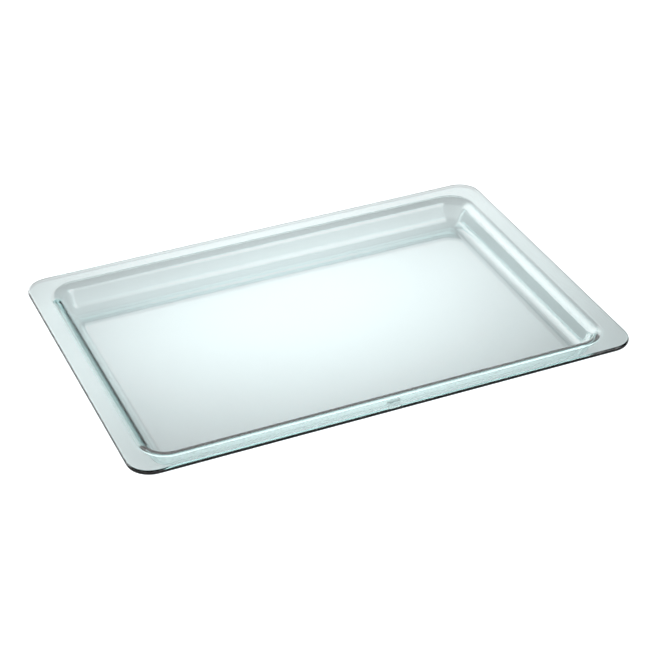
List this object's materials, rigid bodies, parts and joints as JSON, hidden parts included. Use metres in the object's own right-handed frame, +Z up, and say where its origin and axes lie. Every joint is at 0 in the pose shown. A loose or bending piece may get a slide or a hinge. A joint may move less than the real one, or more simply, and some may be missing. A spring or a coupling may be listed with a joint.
{
  "type": "glass baking tray",
  "caption": "Shallow rectangular glass baking tray with rounded corners, sloping basin walls and a wide flat rim that slides into an oven.",
  "frame": {"origin": "centre of the underside of the base, where the tray rests", "axes": "+X along the long side, +Y towards the back across the short side, +Z up out of the basin; the plain recessed panel is on the front rim, at -Y"},
  "size_m": [0.455, 0.32, 0.027],
  "materials": {
    "glass": "clear toughened pressed glass with a slight green tint, fire polished"
  },
  "bodies": {
    "root": {"glass_tray": "glass"}
  },
  "joints": []
}
